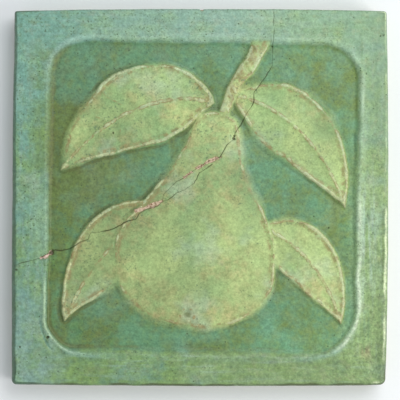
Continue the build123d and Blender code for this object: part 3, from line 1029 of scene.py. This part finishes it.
bare = g.math("MULTIPLY", g.ramp(g.noise(5.0, 4, 0.62, shift=201), 0.30, 0.70), g.ramp(g.math("ADD", g.noise(18, 2, 0.5, shift=211), g.math("MULTIPLY", X, -0.0012)), 0.38, 0.62, 0.10, 0.85))
figure = g.mix(bare, figure, g.mix(g.ramp(mottle, 0.4, 0.65), (160, 162, 106), (174, 168, 116)))
figure = g.shade(figure, g.math("ADD", g.math("ADD", swing(cloud, 0.46), swing(drift, 1.15)), g.math("ADD", g.math("MULTIPLY", X, 0.0005), 0.957)))

wall = g.ramp(F["wall"], 0.25, 0.9)
colour = g.mix(wall, border, ground)
colour = g.mix(F["motif"], colour, figure)
# milky bloom in places
bloom = g.ramp(g.noise(20, 3, 0.6, shift=249), 0.52, 0.70, 0.0, 0.36)
bloom = g.math("MULTIPLY", bloom, g.math("SUBTRACT", 1.0, g.math("MULTIPLY", 0.75, g.math("SUBTRACT", wall, F["motif"], clamp=True))))
bloom = g.math("MULTIPLY", bloom, g.ramp(Y, -66.0, -56.0, 0.45, 1.0))
colour = g.mix(bloom, colour, (172, 194, 172))

# pooled glaze in the hollows, thin glaze on the ridges
pool = g.math("MULTIPLY", F["pool"], g.ramp(g.noise(11, 3, 0.6, shift=271), 0.34, 0.64, 0.25, 1.15))
pool = g.math("MULTIPLY", pool, g.math("MULTIPLY", g.ramp(X, -50.0, 40.0, 1.15, 0.50), g.ramp(Y, 40.0, 58.0, 1.0, 0.45)))
by_right = g.math("MULTIPLY", g.ramp(X, 50.0, 60.0), g.ramp(Y, 25.0, 0.0))
pool = g.math("MULTIPLY", pool, g.math("SUBTRACT", 1.0, g.math("MULTIPLY", g.math("MAXIMUM", by_right, beside), 0.8)))
pooled = g.mix(wall, (96, 138, 120), g.mix(g.ramp(Y, 40.0, 58.0), (92, 100, 54), (104, 128, 90)))
colour = g.mix(g.ramp(pool, 0.10, 1.0, 0.0, 0.66), colour, pooled)
# the foot of the wall: olive on the left; painted light on the low right, a paler green that lightens the shaded foot
# of the wall
foot = g.math("MULTIPLY", F["foot"], g.math("MULTIPLY", g.ramp(X, -48.0, -58.0), g.ramp(Y, -34.0, 4.0, 0.45, 0.78)))
foot = g.math("MULTIPLY", foot, g.ramp(g.noise(9.0, 3, 0.6, shift=281), 0.30, 0.62, 0.45, 1.0))
foot = g.math("MULTIPLY", foot, g.math("SUBTRACT", 1.0, g.math("MULTIPLY", beside, 0.5)))
colour = g.mix(foot, colour, (102, 112, 56))
# painted light: paler green at the foot of the wall on the low right
colour = g.mix(g.math("MULTIPLY", g.math("MULTIPLY", F["foot"], by_right), 0.40), colour, (150, 186, 142))
thin = g.math("MULTIPLY", F["edge"], g.ramp(g.noise(3.6, 3, 0.65, shift=301), 0.30, 0.66, 0.45, 1.2))
thin = g.math("MULTIPLY", thin, g.ramp(g.noise(13, 2, 0.5, shift=317), 0.32, 0.62, 0.40, 1.1))
cream = g.mix(g.ramp(hue, 0.1, 0.9), (198, 208, 156), (214, 208, 142))
tan = g.mix(g.ramp(grain, 0.4, 0.6), (160, 146, 98), (126, 112, 70))
on_motif = g.math("MULTIPLY", thin, F["motif"])
flank = g.math("MAXIMUM", g.ramp(on_motif, 0.10, 0.45), g.math("MULTIPLY", F["seam"], 0.9))
flank = g.math("MULTIPLY", flank, g.ramp(g.noise(2.8, 4, 0.72, shift=331), 0.39, 0.57, 0.0, 0.90))
colour = g.mix(flank, colour, tan)
granular = g.ramp(g.noise(1.5, 3, 0.7, shift=341), 0.34, 0.60, 0.35, 1.0)
colour = g.mix(g.math("MULTIPLY", g.ramp(on_motif, 0.34, 0.95, 0.0, 0.82), granular), colour, g.mix(g.ramp(mottle, 0.52, 0.66, 0.0, 0.6), cream, tan))
away = g.math("MAXIMUM", g.ramp(X, -57.0, -45.0), g.ramp(Y, -31.0, -37.0))
colour = g.mix(g.math("MULTIPLY", g.ramp(thin, 0.30, 1.1, 0.0, 0.34), g.math("MULTIPLY", away, g.ramp(Y, -64.0, -54.0, 0.5, 1.0))), colour, (168, 200, 168))
# painted highlight along the crest of the lip, pale blue-green and bluer along the bottom, strongest on the low right,
# faint on the upper left, along the top and on the upper right
crest = g.math("MULTIPLY", F["lip"], g.ramp(g.noise(8.0, 3, 0.6, shift=351), 0.32, 0.66, 0.05, 0.52))
crest = g.math("MULTIPLY", crest, g.math("MAXIMUM", g.ramp(Y, -66.0, -50.0, 0.25, 1.0), g.ramp(X, 15.0, 45.0, 0.0, 0.85)))
crest = g.math("MULTIPLY", crest, g.math("MAXIMUM", g.ramp(X, -45.0, 30.0, 0.65, 1.0), g.math("MULTIPLY", g.ramp(Y, -31.0, -37.0), g.ramp(X, -50.0, -58.0))))
crest = g.math("MULTIPLY", crest, g.math("ADD", g.math("MULTIPLY", by_right, 0.5), 1.0))
crest = g.math("MULTIPLY", crest, g.math("ADD", g.math("MULTIPLY", away, 0.8), 0.2))
faint = g.math("MULTIPLY", g.ramp(Y, 50.0, 57.0), g.math("MULTIPLY", g.ramp(X, -34.0, -18.0), g.ramp(X, 62.0, 46.0)))
faint = g.math("MAXIMUM", faint, g.math("MULTIPLY", g.ramp(X, 52.0, 60.0), g.math("MULTIPLY", g.ramp(Y, 36.0, 28.0), g.ramp(Y, -4.0, 8.0))))
crest = g.math("MULTIPLY", crest, g.math("SUBTRACT", 1.0, g.math("MULTIPLY", faint, 0.65)))
pale = g.mix(g.ramp(X, -50.0, 50.0), (156, 195, 168), (184, 208, 176))
colour = g.mix(crest, colour, g.mix(g.ramp(Y, -64.0, -54.0), (136, 176, 166), pale))
by_low_right = g.math("MULTIPLY", g.ramp(X, 42.0, 54.0), g.math("MULTIPLY", g.ramp(Y, 18.0, -18.0, 0.0, 0.85), g.ramp(Y, -65.0, -58.0)))
by_low_left = g.math("MULTIPLY", g.ramp(X, -44.0, -54.0), g.ramp(Y, -31.0, -37.0, 0.0, 0.75))
glint = g.math("MULTIPLY", g.math("POWER", F["lip"], 4.0), g.math("MAXIMUM", by_low_right, by_low_left))
glint = g.math("MULTIPLY", glint, g.ramp(g.noise(5.0, 3, 0.6, shift=361), 0.32, 0.56, 0.30, 0.95))
colour = g.mix(glint, colour, g.mix(g.ramp(X, -20.0, 20.0), (180, 206, 164), (212, 226, 196)))
# painted highlight on the lip at the upper left corner
colour = g.mix(g.math("MULTIPLY", F["lip"], g.math("MULTIPLY", g.ramp(Y, 34.0, 46.0, 0.0, 0.42), g.ramp(X, -36.0, -48.0))), colour, (164, 198, 184))
colour = g.mix(g.math("MULTIPLY", F["lip"], g.math("MULTIPLY", g.ramp(Y, -58.0, -63.0, 0.0, 0.38), g.ramp(X, 54.0, 46.0))), colour, (130, 170, 162))
# rim field: pale where positive, which is painted highlight on the right slope, the pale upper corner on the left,
# wear and the nick; dark where negative, which is painted shade on the left slope and the top and the darker low edge
rim = g.math("MULTIPLY", F["rim"], g.ramp(g.noise(1.6, 3, 0.65, shift=371), 0.32, 0.60, 0.80, 1.2))
rim_pale = g.mix(g.ramp(X, -60.0, 60.0), (164, 194, 180), (212, 224, 182))
colour = g.mix(g.ramp(rim, 0.05, 1.0, 0.0, 0.90), colour, rim_pale)
colour = g.mix(g.ramp(rim, -0.05, -0.9, 0.0, 0.82), colour, g.mix(g.ramp(X, -74.0, -60.0), (66, 98, 72), (78, 88, 52)))

# fine mottling and pinholes
speck = g.math("ADD", swing(mottle, 0.92), swing(grain, 0.86))
coarse = g.math("MULTIPLY", g.ramp(X, 55.0, 67.0), g.ramp(Y, 40.0, -10.0, -0.25, 0.38))
speck = g.math("MULTIPLY", speck, g.math("SUBTRACT", g.math("ADD", coarse, 1.0), g.math("MAXIMUM", g.math("MULTIPLY", F["motif"], 0.15), g.ramp(Y, 58.0, 66.0, 0.0, 0.14))))
colour = g.shade(colour, g.math("ADD", speck, 1.0))
dist, tint = g.cells(2.6)
pick = g.make("ShaderNodeSeparateColor")
g.link(tint, pick.inputs[0])
hole = g.math("MULTIPLY", g.ramp(dist, 0.16, 0.07), g.ramp(pick.outputs[0], 0.62, 0.98))
dist, tint = g.cells(1.25, 7.7)
pick = g.make("ShaderNodeSeparateColor")
g.link(tint, pick.inputs[0])
prick = g.math("MULTIPLY", g.ramp(dist, 0.30, 0.12), g.ramp(pick.outputs[1], 0.64, 0.92))
dense = g.math("ADD", blotch, g.math("MULTIPLY", g.math("SUBTRACT", Y, X), 0.0009))
prick = g.math("MULTIPLY", prick, g.ramp(dense, 0.38, 0.62, 0.15, 0.95))
crumb = g.math("MULTIPLY", g.ramp(g.noise(1.0, 2, 0.5, shift=521), 0.56, 0.70, 0.0, 0.62), g.ramp(dense, 0.46, 0.64))
colour = g.mix(crumb, colour, (84, 110, 82))
dot = g.math("MULTIPLY", g.math("MAXIMUM", g.math("MULTIPLY", hole, 0.85), prick), g.math("SUBTRACT", 1.0, g.math("MULTIPLY", F["motif"], 0.45)))
colour = g.mix(dot, colour, (66, 86, 54))

# bare body: chips, crack, foot of the sides and the back
clay = g.mix(g.ramp(mottle, 0.3, 0.7), (214, 186, 150), (188, 156, 120))
clay = g.shade(clay, g.ramp(grain, 0.25, 0.75, 0.86, 1.08))
colour = g.mix(g.ramp(g.math("ADD", F["clay"], swing(patch, 0.5)), 0.3, 0.7), colour, clay)
broken = g.mix(g.ramp(g.noise(0.9, 3, 0.65, shift=401), 0.45, 0.64), g.mix(g.ramp(X, -40.0, -56.0), (208, 184, 158), (224, 196, 182)), (138, 106, 82))
stain = g.math("MULTIPLY", g.ramp(F["chip"], 0.02, 0.30, 0.0, 0.85), g.ramp(g.noise(2.4, 3, 0.65, shift=411), 0.34, 0.62))
colour = g.mix(stain, colour, (146, 118, 86))
colour = g.mix(g.ramp(F["chip"], 0.35, 0.90, 0.0, 0.92), colour, broken)
dark = g.math("MULTIPLY", F["crack"], g.ramp(g.noise(5.0, 2, 0.5, shift=431), 0.35, 0.65, 0.50, 0.85))
dark = g.math("MAXIMUM", dark, g.ramp(F["pit"], 0.2, 0.9, 0.0, 0.85))
colour = g.mix(dark, colour, (62, 64, 38))
g.link(colour, g.bsdf.inputs["Base Color"])

# satin glaze, smoother over the raised edges, dry clay where it is missing
rough = g.math("ADD", g.ramp(blotch, 0.3, 0.7, 0.40, 0.52), swing(mottle, 0.22))
rough = g.math("SUBTRACT", rough, g.ramp(F["edge"], 0.2, 1.0, 0.0, 0.13))
dry = g.math("MAXIMUM", F["clay"], F["chip"])
rough = g.math("ADD", rough, g.math("MULTIPLY", dry, 0.45), clamp=True)
g.link(rough, g.bsdf.inputs["Roughness"])
g.bsdf.inputs["IOR"].default_value = 1.5
g.bsdf.inputs["Specular IOR Level"].default_value = 0.38

# skin of the glaze
uneven = g.ramp(g.math("ADD", g.math("MULTIPLY", X, 0.004), cloud), 0.2, 0.9, 0.50, 1.60)
skin = g.math("ADD", g.math("MULTIPLY", patch, 0.15), g.math("MULTIPLY", mottle, 0.085))
skin = g.math("ADD", g.math("MULTIPLY", skin, g.math("MULTIPLY", uneven, g.ramp(X, 52.0, 66.0, 1.0, 1.35))), g.math("MULTIPLY", grain, 0.03))
skin = g.math("SUBTRACT", skin, g.math("MULTIPLY", hole, 0.09))
bump = g.make("ShaderNodeBump")
bump.inputs["Strength"].default_value = 0.8
bump.inputs["Distance"].default_value = 0.001
g.link(skin, bump.inputs["Height"])
g.link(bump.outputs[0], g.bsdf.inputs["Normal"])
mesh.materials.append(g.mat)

# ================================================================= floor, light, camera
bpy.ops.mesh.primitive_plane_add(size=6.0, location=(0, 0, -0.0002))
floor = bpy.context.object
floor.name = "floor"
f = Graph("pale_floor")
pale = f.mix(f.ramp(f.noise(160, 2, 0.5), 0.3, 0.7), (238, 240, 240), (243, 244, 245))
f.link(pale, f.bsdf.inputs["Base Color"])
f.bsdf.inputs["Roughness"].default_value = 0.85
f.bsdf.inputs["Specular IOR Level"].default_value = 0.2
floor.data.materials.append(f.mat)

scene = bpy.context.scene
world = bpy.data.worlds.new("studio")
scene.world = world
world.use_nodes = True
world.node_tree.nodes["Background"].inputs["Color"].default_value = (0.92, 0.96, 1.0, 1.0)
world.node_tree.nodes["Background"].inputs["Strength"].default_value = 0.50


def area(name, place, target, size, power, colour):
    light = bpy.data.lights.new(name, "AREA")
    light.shape = "RECTANGLE"
    light.size, light.size_y = size
    light.energy = power
    light.color = colour
    ob = bpy.data.objects.new(name, light)
    ob.location = place
    ob.rotation_euler = (Vector(target) - Vector(place)).to_track_quat("-Z", "Y").to_euler()
    scene.collection.objects.link(ob)


area("key", (0.57, -0.21, 0.515), (0, 0, 0.01), (0.30, 0.30), 2.30, (1.0, 0.985, 0.955))
area("top", (0.28, 0.34, 0.73), (0, 0, 0.01), (0.60, 0.40), 3.40, (0.97, 0.985, 1.0))

cam = bpy.data.cameras.new("camera")
cam.sensor_width = cam.sensor_height = 36.0
cam.sensor_fit = "HORIZONTAL"
HEIGHT = 0.62            # lens above the face
WIDE = 0.1620            # width of the picture at the face
cam.lens = 36.0 * HEIGHT / WIDE
cam.clip_end = 50.0
cam_ob = bpy.data.objects.new("camera", cam)
cam_ob.location = (-0.0001, -0.00117, HEIGHT + Z_BORDER / 1000)
cam_ob.rotation_euler = (0, 0, 0)
scene.collection.objects.link(cam_ob)
scene.camera = cam_ob
scene.view_settings.view_transform = "Standard"
scene.view_settings.look = "None"
